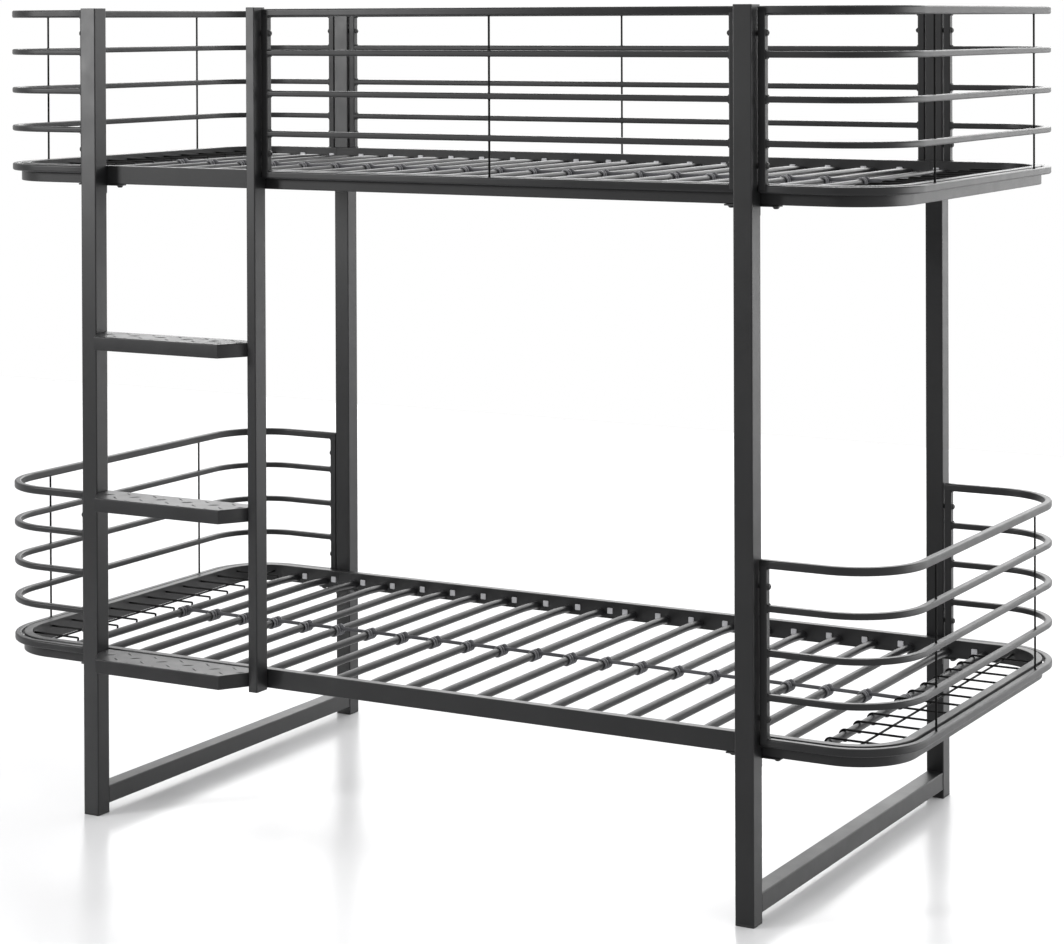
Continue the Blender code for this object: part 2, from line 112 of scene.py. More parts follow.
TREAD_SHEET = 0.0020       # thickness of a folded tread
TREAD_BEND = 0.0022        # radius where a tread's top folds into its skirt
TREAD_SIDE = 0.0535        # chamfered front part of a tread, front to back
TREAD_RUN = 0.0350         # the same along the bed
TREAD_FLAT = 0.0200        # where the last ring of the tread's top lies
EDGE = 0.0004              # small chamfer on a sheet's edges
MARK_STEP = 0.00125        # grid step of the pressed grip marks
MARK_INSET = 0.0050        # plain border round the marks
MARK_FADE = 0.0020         # width over which the marks fade out at the border


# ---- mesh building ------------------------------------------------------
def unit(vectors):
    """Vectors divided by their lengths."""
    vectors = np.asarray(vectors, float)
    return vectors / np.linalg.norm(vectors, axis=-1, keepdims=True)


def rounded_section(width, height, radius, arc=4, spare=0.0004):
    """Rounded rectangle, anticlockwise: four quarter circles, each with a spare point
    just beyond either end, so that shading turns only at the corners."""
    angle = np.linspace(0.0, math.pi / 2, arc + 1)
    turn = radius * np.stack([np.cos(angle), np.sin(angle)], axis=1)
    turn = np.vstack([turn[0] - (0.0, spare), turn, turn[-1] - (spare, 0.0)])
    corners = []
    for k, (sx, sy) in enumerate(((1, 1), (-1, 1), (-1, -1), (1, -1))):
        c, s = math.cos(k * math.pi / 2), math.sin(k * math.pi / 2)
        middle = (sx * (width / 2 - radius), sy * (height / 2 - radius))
        corners.append(turn @ np.array(((c, s), (-s, c))) + middle)
    return np.vstack(corners)


def round_section(diameter, sides=12):
    """Circle, anticlockwise: (r cos t, r sin t)."""
    t = 2 * math.pi * np.arange(sides) / sides
    return diameter / 2 * np.stack([np.cos(t), np.sin(t)], axis=1)


def skin_faces(rows, cols):
    """Quads between neighbouring rings of points, and a flat cap on each end ring."""
    i, j = np.meshgrid(np.arange(rows - 1), np.arange(cols), indexing="ij")
    k = (j + 1) % cols
    quads = np.stack([i * cols + j, i * cols + k, (i + 1) * cols + k, (i + 1) * cols + j], -1)
    caps = [list(range(cols))[::-1], list(range((rows - 1) * cols, rows * cols))]
    return quads.reshape(-1, 4).tolist() + caps


def carry(section, centre, across, up, ease=0.0):
    """Closed skin of a section carried along a path: point(s, t) = centre(s) +
    across(s) a(t) + up(s) b(t).  Over the first and last `ease` metres the section
    is drawn in on a quarter circle, and a flat cap closes each end."""
    centre = np.asarray(centre, float)
    across = np.broadcast_to(np.asarray(across, float), centre.shape)
    up = np.broadcast_to(np.asarray(up, float), centre.shape)
    inset = np.zeros(len(centre))
    if ease:
        turn = np.radians((90.0, 60.0, 30.0, 0.0))
        run, draw = ease * (1 - np.sin(turn)), ease * (1 - np.cos(turn))
        first, last = (centre[a] + np.outer(run, unit(centre[b] - centre[a])) for a, b in ((0, 1), (-1, -2)))
        centre = np.vstack([first, centre[1:-1], last[::-1]])
        repeats = np.ones(len(up), int)
        repeats[0] = repeats[-1] = len(turn)
        across, up = np.repeat(across, repeats, 0), np.repeat(up, repeats, 0)
        inset = np.concatenate([draw, inset[1:-1], draw[::-1]])
    shrink = 1 - inset[:, None] / np.abs(section).max(axis=0)
    points = (centre[:, None] + across[:, None] * (section[:, 0] * shrink[:, :1])[..., None]
              + up[:, None] * (section[:, 1] * shrink[:, 1:])[..., None])
    return points.reshape(-1, 3), skin_faces(len(centre), len(section))


def gather(shapes):
    """Several skins as one list of points and faces."""
    points, faces, start = [], [], 0
    for verts, quads in shapes:
        points.append(verts)
        faces += [[v + start for v in face] for face in quads]
        start += len(verts)
    return np.vstack(points), faces


def straight(section, start, end, up=UP, ease=0.0):
    """Section carried along a straight line; `across` is up x direction."""
    path = np.array([start, end], float)
    return carry(section, path, np.cross(up, unit(path[1] - path[0])), up, ease)


def along_plan(section, plan, z, ease=0.0):
    """Section carried along a flat path at one height, square to the path."""
    centre = np.column_stack([plan, np.full(len(plan), z)])
    return carry(section, centre, np.cross(UP, unit(np.gradient(centre, axis=0))), UP, ease)


def wire(diameter, centre, sides=8):
    """Round wire along any smooth path, with a frame that turns as little as it can:
    the up direction is a fixed one with its part along the path taken out."""
    centre = np.asarray(centre, float)
    way = unit(np.gradient(centre, axis=0))
    hint = np.eye(3)[np.argmin(np.abs(way).max(axis=0))]
    up = unit(hint - way * (way @ hint)[:, None])
    return carry(round_section(diameter, sides), centre, np.cross(up, way), up)


def coil(diameter, radius, middle, length, turns, start=0.0, sides=8, steps=14):
    """Wire wound round a bar that lies along Y: (r cos t, pitch t, r sin t)."""
    t = start + np.linspace(0, 2 * math.pi * turns, int(steps * turns) + 1)
    run = np.linspace(-length / 2, length / 2, len(t))
    out = np.stack([np.cos(t), np.zeros(len(t)), np.sin(t)], axis=1)
    centre = np.asarray(middle) + radius * out + np.outer(run, BACKWARD)
    way = unit(np.gradient(centre, axis=0))
    up = unit(out - way * (out * way).sum(axis=1)[:, None])
    return carry(round_section(diameter, sides), centre, np.cross(up, way), up)


def turned(profile, origin, axis, sides=24):
    """Profile of (radius, distance) turned round an axis: point = origin + axis d +
    r (cos t u + sin t w).  A flat disc closes it at either end."""
    axis = np.asarray(axis, float)
    u = unit(np.cross(axis, UP if abs(axis[2]) < 0.9 else (1.0, 0.0, 0.0)))
    w = np.cross(axis, u)
    profile = np.asarray(profile, float)
    t = 2 * math.pi * np.arange(sides) / sides
    rings = np.cos(t)[:, None] * u + np.sin(t)[:, None] * w
    points = np.asarray(origin) + profile[:, 1, None, None] * axis + profile[:, 0, None, None] * rings
    return points.reshape(-1, 3), skin_faces(len(profile), sides)


def piece(name, shapes, material, nodes=(), crease=38.0):
    """Shown object made of skins, riding on the bed, standing for its CAD nodes."""
    verts, faces = gather(shapes)
    mesh = bpy.data.meshes.new(name)
    mesh.from_pydata(verts.tolist(), [], faces)
    mesh.polygons.foreach_set("use_smooth", np.ones(len(faces), dtype=bool))
    mesh.set_sharp_from_angle(angle=math.radians(crease))
    mesh.materials.append(material)
    item = bpy.data.objects.new(name, mesh)
    bpy.context.collection.objects.link(item)
    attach(item, "root")
    if nodes:
        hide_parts(*nodes)
    return item


# ---- finishes -----------------------------------------------------------
CLOUDS = 9.0               # scale of the soft colour clouds
PATCHES = 26.0             # scale of the roughness patches
PEEL_HEIGHT = 0.0004


def coat(name, dark, light, rough, texture=1100.0, bump=0.10, spread=0.06, metallic=0.0, specular=0.3):
    """Painted finish: two close colours in soft clouds, a fine orange-peel bump, and
    a roughness that drifts by `spread` over hand-sized patches."""
    mat = bpy.data.materials.new(name)
    mat.use_nodes = True
    nodes, links = mat.node_tree.nodes, mat.node_tree.links
    shader = nodes["Principled BSDF"]
    place = nodes.new("ShaderNodeTexCoord")

    def noise(scale, detail):
        node = nodes.new("ShaderNodeTexNoise")
        node.inputs["Scale"].default_value = scale
        node.inputs["Detail"].default_value = detail
        links.new(place.outputs["Object"], node.inputs["Vector"])
        return node.outputs["Fac"]

    ramp = nodes.new("ShaderNodeValToRGB")
    for stop, position, colour in zip(ramp.color_ramp.elements, (0.3, 0.7), (dark, light)):
        stop.position, stop.color = position, (*colour, 1.0)
    links.new(noise(CLOUDS, 4.0), ramp.inputs["Fac"])
    links.new(ramp.outputs["Color"], shader.inputs["Base Color"])
    level = nodes.new("ShaderNodeMapRange")
    level.inputs["To Min"].default_value = rough - spread
    level.inputs["To Max"].default_value = rough + spread
    links.new(noise(PATCHES, 5.0), level.inputs["Value"])
    links.new(level.outputs["Result"], shader.inputs["Roughness"])
    peel = nodes.new("ShaderNodeBump")
    peel.inputs["Strength"].default_value = bump
    peel.inputs["Distance"].default_value = PEEL_HEIGHT
    links.new(noise(texture, 2.0), peel.inputs["Height"])
    links.new(peel.outputs["Normal"], shader.inputs["Normal"])
    shader.inputs["Metallic"].default_value = metallic
    shader.inputs["Specular IOR Level"].default_value = specular
    return mat


frame_coat = coat("black_powder_coat", (0.0070, 0.0071, 0.0075), (0.0105, 0.0106, 0.0112), 0.42,
                  specular=0.34)
slat_coat = coat("dark_grey_tube_coat", (0.012, 0.012, 0.0125), (0.018, 0.018, 0.019), 0.36,
                 texture=700.0, specular=0.14)
tread_coat = coat("grey_tread_coat", (0.013, 0.013, 0.0135), (0.020, 0.020, 0.021), 0.40,
                  texture=900.0, bump=0.12, specular=0.22)
wire_coat = coat("black_wire_coat", (0.003, 0.003, 0.003), (0.005, 0.005, 0.005), 0.55,
                 texture=1500.0, specular=0.08)
link_steel = coat("zinc_link_wire", (0.085, 0.085, 0.091), (0.135, 0.135, 0.144), 0.38,
                  texture=1400.0, specular=0.42)
link_dull = coat("dull_link_wire", (0.055, 0.055, 0.059), (0.085, 0.085, 0.091), 0.56,
                 texture=1400.0, specular=0.06)
lug_steel = coat("grey_lug_finish", (0.34, 0.34, 0.35), (0.44, 0.44, 0.455), 0.46,
                 texture=1200.0, metallic=0.2)
bolt_black = coat("black_bolt_finish", (0.012, 0.012, 0.012), (0.022, 0.022, 0.022), 0.34,
                  texture=1800.0)
foot_plastic = coat("black_foot_plastic", (0.012, 0.012, 0.012), (0.020, 0.020, 0.020), 0.58,
                    texture=1300.0, bump=0.2)


# ---- places, read from the solids ---------------------------------------
FOOT = {(f, s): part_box(f"foot_{f}_{s}") for f in FACES for s in SIDES}
FRONT_Y = (FOOT["front", "left"][0][1] + FOOT["front", "left"][1][1]) / 2
BACK_Y = (FOOT["back", "left"][0][1] + FOOT["back", "left"][1][1]) / 2
MID_Y = (FRONT_Y + BACK_Y) / 2
POST = FOOT["front", "left"][1][0] - FOOT["front", "left"][0][0]
POST_X = (FOOT["front", "right"][0][0] + FOOT["front", "right"][1][0]) / 2
POST_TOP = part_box("post_front_left")[1][2]
POST_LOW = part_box("post_front_left")[0][2]
RAIL_LOW = {level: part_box(f"rail_{level}_front")[0][2] for level in LEVELS}
RAIL_HIGH = {level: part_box(f"rail_{level}_front")[1][2] for level in LEVELS}
RING_Y = MID_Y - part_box("rail_upper_front")[0][1]
RING_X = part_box("rail_upper_end_right")[1][0]
GUARD_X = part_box("guard_upper_right")[1][0] - BAR_W / 2
GUARD_Y = MID_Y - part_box("guard_upper_front")[0][1] - UPRIGHT / 2
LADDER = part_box("ladder_plug")
LADDER_X = (LADDER[0][0] + LADDER[1][0]) / 2
LADDER_W = LADDER[1][0] - LADDER[0][0]
LADDER_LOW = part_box("ladder_post")[0][2]


def bent_plan(side, start_x, half_y, reach_x, radius, steps=14):
    """Plan path round one end of the bed: a straight side, a quarter circle, the
    straight end, a quarter circle and the other side, from front to back."""
    angle = np.radians(np.linspace(0, 90, steps + 1))
    corner_x, corner_y = reach_x - radius, radius - half_y
    first = np.stack([corner_x + radius * np.sin(angle), corner_y - radius * np.cos(angle)], 1)
    second = first[::-1] * (1, -1)
    start = np.array([(start_x, -half_y), ((start_x + corner_x) / 2, -half_y)])
    plan = np.vstack([start, first, second, start[::-1] * (1, -1)])
    return plan * (side, 1.0) + (0.0, MID_Y)


# ---- posts, feet and floor bars -----------------------------------------
def bracket(post_x, face, level):
    """Folded angle under a ring: a plate below the rail and a leg on the post."""
    top = RAIL_LOW[level] - SHEET_GAP
    inner = FRONT_Y + POST / 2 if face < 0 else BACK_Y - POST / 2
    far = MID_Y + face * (RING_Y - RAIL_W)
    y, z = (far + inner) / 2, top - SHEET / 2
    plate = straight(rounded_section(abs(far - inner) + 0.0005, SHEET, SHEET_ROUND),
                     (post_x - PLATE_HALF, y, z), (post_x + PLATE_HALF, y, z), ease=SHEET_EASE)
    y = inner - face * LEG_SET
    leg = straight(rounded_section(LEG_W, SHEET, SHEET_ROUND), (post_x, y, top - LEG_DROP),
                   (post_x, y, top - SHEET_EASE), up=BACKWARD, ease=SHEET_EASE)
    return [plate, leg]


def button_bolt(seat, axis, size=0.0120, height=0.0045):
    """Button head with a round socket, standing on a thin washer; it points along
    `axis` away from its seat.  Head height is a quarter ellipse over its radius."""
    r, brim, socket, deep = size / 2, 0.0012, 0.0026, 0.0016
    t = np.radians(np.linspace(0, 90, 8))
    dome = [(socket + (r - socket) * math.cos(a), brim + (height - brim) * math.sin(a)) for a in t]
    hollow = [(socket - 0.0005, height - deep), (0.0003, height - deep)]
    head = turned([(0.0015, 0.0), (r, 0.0)] + dome + hollow, seat, axis)
    chamfer, rim = r + 0.0008, r + 0.0012
    washer = turned([(SHAFT_R, -0.0002), (chamfer, -0.0002), (rim, 0.0001), (rim, 0.0007),
                     (chamfer, 0.0010), (SHAFT_R, 0.0010)], seat, axis)
    return [head, washer]


def cap_nut(seat, axis, size=0.0118):
    """Domed nut: a six-sided body with a cap that follows a quarter ellipse."""
    tall, cap_r, cap_height = 0.0030, 0.0044, 0.0028
    body = turned([(SHAFT_R, 0.0), (size / 2, 0.0), (size / 2, tall), (0.0046, tall + 0.0006)],
                  seat, axis, sides=6)
    t = np.radians(np.linspace(0, 84, 6))
    curve = [(cap_r * math.cos(a), tall + 0.0004 + cap_height * math.sin(a)) for a in t]
    return [body, turned([(0.0040, tall)] + curve, seat, axis)]


def spacer(seat, axis):
    """Round spacer that fills the gap between a post and an upright."""
    return turned([(SHAFT_R, 0.0), (SPACER_R, 0.0), (SPACER_R, GAP), (SHAFT_R, GAP)], seat, axis, sides=16)


def weld(a, b, size=0.0030):
    """Fillet of weld from a to b: its radius swells and sinks with each ripple,
    r(s) = size / 2 (1 + 0.1 sin(2 pi s / ripple)), and its ends are small."""
    ripple, step, end = 0.0019, 0.0006, 0.45
    a, b = np.asarray(a, float), np.asarray(b, float)
    length = np.linalg.norm(b - a)
    count = max(6, int(length / step))
    s = np.linspace(0.0, 1.0, count)
    centre = a + np.outer(s, b - a)
    swell = 1 + 0.10 * np.sin(2 * math.pi * s * length / ripple)
    swell[0] = swell[-1] = end
    verts, faces = wire(size, centre, sides=6)
    rows = verts.reshape(count, 6, 3)
    rows = centre[:, None] + (rows - centre[:, None]) * swell[:, None, None]
    return rows.reshape(-1, 3), faces


def make_posts():
    """Four square corner posts with brackets, plastic feet and floor bars."""
    for (face_name, side_name), (low, high) in FOOT.items():
        face, x, y = FACES[face_name], (low[0] + high[0]) / 2, (low[1] + high[1]) / 2
        place = f"{face_name}_{side_name}"
        shapes = [straight(rounded_section(POST, POST, POST_ROUND), (x, y, POST_LOW), (x, y, POST_TOP),
                           up=BACKWARD, ease=POST_EASE)]
        for level in LEVELS:
            shapes += bracket(x, face, level)
        piece(f"corner_post_{place}", shapes, frame_coat, [f"post_{place}"])
        foot = straight(rounded_section(POST + 0.0004, POST + 0.0004, 0.0030), (x, y, 0.0),
                        (x, y, POST_LOW + 0.0004), up=BACKWARD, ease=0.0010)
        piece(f"foot_cap_{place}", [foot], foot_plastic, [f"foot_{place}"])
    for side_name in SIDES:
        make_floor_bar(side_name)


def make_floor_bar(side_name):
    """Bar between two feet, with a weld on each edge of both its ends."""
    low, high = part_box(f"floor_bar_{side_name}")
    bead, short = 0.0022, 0.0030
    x, z = (low[0] + high[0]) / 2, (low[2] + high[2]) / 2
    section = rounded_section(high[0] - low[0], high[2] - low[2], POST_ROUND)
    bar = straight(section, (x, low[1], z), (x, high[1], z))
    beads = []
    for y in (low[1], high[1]):
        for edge in (low[0], high[0]):
            beads.append(weld((edge, y, low[2] + short), (edge, y, high[2] - short), bead))
        for edge in (low[2], high[2]):
            beads.append(weld((low[0] + short, y, edge), (high[0] - short, y, edge), bead))
    piece(f"floor_tube_{side_name}", [bar], frame_coat, [f"floor_bar_{side_name}"])
    piece(f"floor_tube_welds_{side_name}", beads, frame_coat)


def make_ladder():
    """Narrow ladder post, its plug, and three folded treads."""
    tube = straight(rounded_section(LADDER_W, POST, POST_ROUND), (LADDER_X, FRONT_Y, LADDER_LOW),
                    (LADDER_X, FRONT_Y, POST_TOP), up=BACKWARD, ease=POST_EASE)
    piece("ladder_side_post", [tube], frame_coat, ["ladder_post"])
    plug = straight(rounded_section(LADDER_W, POST, 0.0026), (LADDER_X, FRONT_Y, LADDER[0][2]),
                    (LADDER_X, FRONT_Y, LADDER_LOW + 0.0002), up=BACKWARD, ease=0.0006)
    piece("ladder_post_plug", [plug], foot_plastic, ["ladder_plug"])
    for level in ("lower", "middle", "upper"):
        make_tread(level)


# ---- treads -------------------------------------------------------------
def inside_polygon(x, y, outline, inset):
    """Signed distance inward from a convex outline at each point: the least of the
    distances to its edges, in metres, less the inset."""
    depth = np.full(np.shape(x), np.inf)
    for a, b in zip(outline, np.roll(outline, -1, axis=0)):
        way = unit(b - a)
        depth = np.minimum(depth, (x - a[0]) * -way[1] + (y - a[1]) * way[0])
    return depth - inset


def tread_marks(x, y):
    """Height of the pressed grip marks: lens-shaped ridges in rows, each row shifted by
    half a pitch and leaning the other way, h = top (1 - (u / a)^2 - (v / b)^2)."""
    pitch, row_step, a, b, top = 0.0660, 0.0232, 0.0135, 0.0030, 0.0011
    first_x, first_y, lean = 0.0368, 0.0475, math.radians(38.0)
    row = np.round((y - first_y) / row_step)
    odd = np.mod(row, 2.0)
    u = np.mod(x - first_x - odd * pitch / 2 + pitch / 2, pitch) - pitch / 2
    v = y - first_y - row * row_step
    turn = np.where(odd > 0, -lean, lean)
    along, cross = u * np.cos(turn) + v * np.sin(turn), v * np.cos(turn) - u * np.sin(turn)
    return top * np.clip(1 - (along / a) ** 2 - (cross / b) ** 2, 0.0, 1.0)


def tread_plan(low, high):
    """Outline of a tread, anticlockwise from the back left: straight back, short
    sides and a chamfer at each front corner."""
    side_y = low[1] + TREAD_SIDE
    return np.array([(low[0], high[1]), (low[0], side_y), (low[0] + TREAD_RUN, low[1]),
                     (high[0] - TREAD_RUN, low[1]), (high[0], side_y), (high[0], high[1])])


def inset_loop(outline, inset):
    """Outline moved inward by an inset, each corner along its mitre."""
    d0 = unit(outline - np.roll(outline, 1, axis=0))
    d1 = unit(np.roll(outline, -1, axis=0) - outline)
    n0, n1 = np.stack([-d0[:, 1], d0[:, 0]], 1), np.stack([-d1[:, 1], d1[:, 0]], 1)
    return outline + inset * (n0 + n1) / (1 + (n0 * n1).sum(axis=1))[:, None]


def folded_sheet(outline, bottom, top):
    """Folded tread: rings of the outline step up the skirt, round the fold and in over
    the top, then down the inside, so that the sheet closes on itself."""
    fold = np.radians(np.linspace(0, 90, 6))
    outer = [(EDGE, bottom), (0.0, bottom + EDGE)]
    outer += [(TREAD_BEND * (1 - math.cos(a)), top - TREAD_BEND * (1 - math.sin(a))) for a in fold]
    outer += [(TREAD_BEND + EDGE, top), (TREAD_FLAT, top)]
    under = top - TREAD_SHEET
    inner = [(TREAD_FLAT, under), (TREAD_SHEET + EDGE, under), (TREAD_SHEET, under - EDGE),
             (TREAD_SHEET, bottom + EDGE), (TREAD_SHEET - EDGE, bottom)]
    rings = outer + inner
    loops = [np.column_stack([inset_loop(outline, d), np.full(len(outline), z)]) for d, z in rings]
    cols, cut, faces = len(outline), len(outer), []
    for i in range(len(rings)):
        if i != cut - 1:
            a, b = i * cols, (i + 1) % len(rings) * cols
            faces += [[a + j, a + (j + 1) % cols, b + (j + 1) % cols, b + j] for j in range(cols)]
    faces.append([(cut - 1) * cols + j for j in range(cols)])
    faces.append([cut * cols + j for j in range(cols)][::-1])
    return np.vstack(loops), faces


def mark_skin(outline, low, high):
    """Grip marks as a fine skin sunk into the flat top: the cells of a plan grid where
    the marks stand up, a flat underside below them, and walls round their rims."""
    top = high[2]
    xs = np.arange(low[0] + 0.006, high[0] - 0.006, MARK_STEP)
    ys = np.arange(low[1] + 0.006, high[1] - 0.004, MARK_STEP)
    x, y = np.meshgrid(xs, ys, indexing="ij")
    fade = np.clip(inside_polygon(x, y, outline, MARK_INSET) / MARK_FADE, 0.0, 1.0)
    mark = tread_marks(x - low[0], y - low[1]) * fade
    z = np.where(mark > 0, top + mark, top - 0.0003)
    rows, cols = x.shape
    i, j = np.meshgrid(np.arange(rows - 1), np.arange(cols - 1), indexing="ij")
    quad = np.stack([i * cols + j, (i + 1) * cols + j, (i + 1) * cols + j + 1, i * cols + j + 1], -1)
    quad = quad[(mark.ravel()[quad] > 0).any(axis=-1)]
    used, flat = np.unique(quad, return_inverse=True)
    flat = flat.reshape(quad.shape)
    upper = np.column_stack([x.ravel()[used], y.ravel()[used], z.ravel()[used]])
    under = upper.copy()
    under[:, 2] = top - 0.0010
    size = len(upper)
    edges = np.concatenate([flat[:, (0, 1)], flat[:, (1, 2)], flat[:, (2, 3)], flat[:, (3, 0)]])
    met = np.isin(edges[:, 0] * size + edges[:, 1], edges[:, 1] * size + edges[:, 0])
    rim = edges[~met]
    walls = np.column_stack([rim[:, 1], rim[:, 0], rim[:, 0] + size, rim[:, 1] + size])
    return np.vstack([upper, under]), flat.tolist() + (flat[:, ::-1] + size).tolist() + walls.tolist()


def make_tread(level):
    """One tread: folded sheet, grip marks on it, and a weld along each short side."""
    low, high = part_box(f"tread_{level}")
    outline = tread_plan(low, high)
    piece(f"folded_tread_{level}", [folded_sheet(outline, low[2], high[2])], tread_coat,
          [f"tread_{level}"])
    piece(f"grip_marks_{level}", [mark_skin(outline, low, high)], tread_coat, crease=60.0)
    front, back, z = low[1] + 0.056, high[1] - 0.004, low[2] + 0.0005
    beads = [weld((x, front, z), (x, back, z), 0.0026) for x in (low[0] + EDGE, high[0] - EDGE)]
    piece(f"tread_welds_{level}", beads, frame_coat)


# ---- rings, slats and mesh ----------------------------------------------
def slat_spots():
    """X of every slat, in the order they lie along the bed."""
    return (np.arange(SLAT_COUNT) - (SLAT_COUNT - 1) / 2) * SLAT_PITCH


def make_rings():
    """Two long rails and two bent end rails for each bunk, with the slat lugs."""
    spots, half = slat_spots(), RAIL_W / 2
    for level in LEVELS:
        z = (RAIL_LOW[level] + RAIL_HIGH[level]) / 2
        section = rounded_section(RAIL_W, RAIL_HIGH[level] - RAIL_LOW[level], RAIL_ROUND)
        lugs = []
        for face_name, face in FACES.items():
            y = MID_Y + face * (RING_Y - half)
            rail = straight(section, (-POST_X + BITE, y, z), (POST_X - BITE, y, z))
            piece(f"long_rail_{level}_{face_name}", [rail], frame_coat,
                  [f"rail_{level}_{face_name}"])
            inner, height = MID_Y + face * (RING_Y - RAIL_W), RAIL_LOW[level] + LUG_Z
            for x in spots - np.copysign(LUG_SHIFT, spots):
                lugs.append(straight(rounded_section(LUG, LUG, LUG_ROUND, arc=3),
                                     (x, inner + face * 0.0006, height), (x, inner - face * 0.0022, height),
                                     ease=0.0006))
        piece(f"slat_lugs_{level}", lugs, lug_steel)
        for side_name, side in SIDES.items():
            plan = bent_plan(side, POST_X + BITE, RING_Y - half, RING_X - half, RING_R - half, steps=18)
            piece(f"end_rail_{level}_{side_name}", [along_plan(section, plan, z)], frame_coat,
                  [f"rail_{level}_end_{side_name}"])


def slat_line(x, z, reach):
    """Centre line of a slat: a long shallow bow, highest in the middle and lowest where
    it enters the rails, on the square root of a half cosine near each end."""
    d = np.array((0.0, 0.004, 0.010, 0.018, 0.028, 0.040, 0.055, 0.072, SLAT_EASE, 0.200))
    y = np.concatenate([-reach + d, [0.0], (reach - d)[::-1]])
    inward = np.clip(reach - np.abs(y), 0.0, SLAT_EASE) / SLAT_EASE
    bow = np.sqrt(0.5 * (1 - np.cos(math.pi * inward)))
    return np.column_stack([np.full(len(y), x), y + MID_Y, z + SLAT_LIFT * (2 * bow - 1)])


def link(x, y, z, radius, half):
    """Wire from the coil at x to the next: it leaves over the far half of the first,
    (r cos t, r sin t), runs straight across, and ends against the side of the next."""
    step = np.arange(4)
    lead, tail = np.radians((80.0, 60.0, 42.0, 28.0)), np.radians((148.0, 164.0, 184.0, 206.0))
    first = np.column_stack([x + radius * np.cos(lead), y + half - 0.008 - 0.0015 * step,
                             z + radius * np.sin(lead)])
    last = np.column_stack([x + SLAT_PITCH + radius * np.cos(tail), y - half + 0.015 - 0.001 * step,
                            z + radius * np.sin(tail)])
    s = np.linspace(0.12, 0.88, 6)[:, None]
    return wire(LINK_D, np.vstack([first, first[-1] * (1 - s) + last[0] * s, last]), sides=10)


def make_slats():
    """Round slats, joined along the middle by a wire: it is wound nearly four times
    round a slat and runs straight to the next."""
    spots = slat_spots()
    radius, half = SLAT_D / 2 + WRAP_D / 2 - BITE, WRAP_TURNS * WRAP_PITCH / 2
    for level in LEVELS:
        z = RAIL_LOW[level] + SLAT_Z
        reach = RING_Y - RAIL_W + 0.0004
        for side_name, side in SIDES.items():
            tubes = [wire(SLAT_D, slat_line(x, z, reach), sides=20) for x in spots[spots * side > 0]]
            piece(f"round_slats_{level}_{side_name}", tubes, slat_coat,
                  [f"slats_{level}_{side_name}"])
        y, mid = MID_Y + LINK_Y, z + SLAT_LIFT
        turns = [coil(WRAP_D, radius, (x, y, mid), 2 * half, WRAP_TURNS, start=math.radians(200.0), sides=10,
                      steps=18) for x in spots]
        links = [link(x, y, mid, radius, half) for x in spots[:-1]]
        piece(f"link_coils_{level}", turns, link_steel)
        piece(f"link_wires_{level}", links, link_dull)


def grid_hook(side, z):
    """Side view of a grid wire's inner end, as (distance along the bed, height).  On
    the right it curls back round the last slat, (r cos t, r sin t); on the left a
    quarter bend turns it down and it tucks under."""
    last = slat_spots()[-1]
    r = SLAT_D / 2 + MESH_WIRE / 2 - BITE
    if side > 0:
        angle = np.radians(np.linspace(90, 305, 16))
        return np.column_stack([last + r * np.cos(angle), z + r * np.sin(angle)])
    bend, under = np.radians(np.linspace(90, 180, 6)), np.radians(np.linspace(0, -50, 4))
    down = np.column_stack([last + r + BEND_R * (1 + np.cos(bend)), z + r - BEND_R * (1 - np.sin(bend))])
    return np.vstack([down, np.column_stack([last + r * np.cos(under), z + r * np.sin(under)])])


def make_mesh_ends():
    """Wire grid in each rounded end, with one cross wire welded beneath.  A long wire
    stops at the ring's inner face: within `limit` of the middle that is straight, and
    beyond it falls back as a circle, sqrt(corner^2 - over^2)."""
    limit, corner, corner_x = RING_Y - RING_R, RING_R - RAIL_W, RING_X - RING_R
    for level in LEVELS:
        slat_z = RAIL_LOW[level] + SLAT_Z + SLAT_LIFT
        for side_name, side in SIDES.items():
            turn = grid_hook(side, slat_z)
            height = turn[0, 1]
            wires = []
            for y in (np.arange(MESH_COUNT) - (MESH_COUNT - 1) / 2) * MESH_PITCH:
                over = max(abs(y) - limit, 0.0)
                stop = corner_x + math.sqrt(corner ** 2 - over ** 2) + 0.0006
                run = np.linspace(stop, turn[0, 0], 6)[:-1]
                drift = np.concatenate([np.zeros(len(run)), np.linspace(0.0, MESH_DRIFT, len(turn))])
                wires.append(wire(MESH_WIRE, np.column_stack([
                    side * np.concatenate([run, turn[:, 0]]), MID_Y + y - drift,
                    np.concatenate([np.full(len(run), height), turn[:, 1]])]), sides=8))
            reach = limit + math.sqrt(corner ** 2 - (CROSS_X - corner_x) ** 2)
            x, low = side * CROSS_X, height - CROSS_SINK
            wires.append(wire(MESH_WIRE, [(x, MID_Y - reach, low), (x, MID_Y, low), (x, MID_Y + reach, low)]))
            piece(f"end_grid_{level}_{side_name}", wires, wire_coat,
                  [f"mesh_{level}_{side_name}"])


# ---- guards -------------------------------------------------------------
def guard_bars(low, plan):
    """Five bars on one plan path; the first and last run on past the uprights."""
    full = plan.copy()
    for a, b in ((0, 1), (-1, -2)):
        full[a] += unit(plan[a] - plan[b]) * UPRIGHT / 2
    bars = []
    for bar in BARS:
        outer = bar in (BARS[0], BARS[-1])
        bars.append(along_plan(rounded_section(BAR_W, bar[1], BAR_ROUND, arc=5), full if outer else plan,
                               low + bar[0] + bar[1] / 2, ease=0.0008 if outer else 0.0))
    return bars


def inner_edges():
    """Heights of the bars' edges that face another bar, each with its way outward."""
    edges = [(z, way) for base, height in BARS for z, way in ((base, -1.0), (base + height, 1.0))]
    return edges[1:-1]


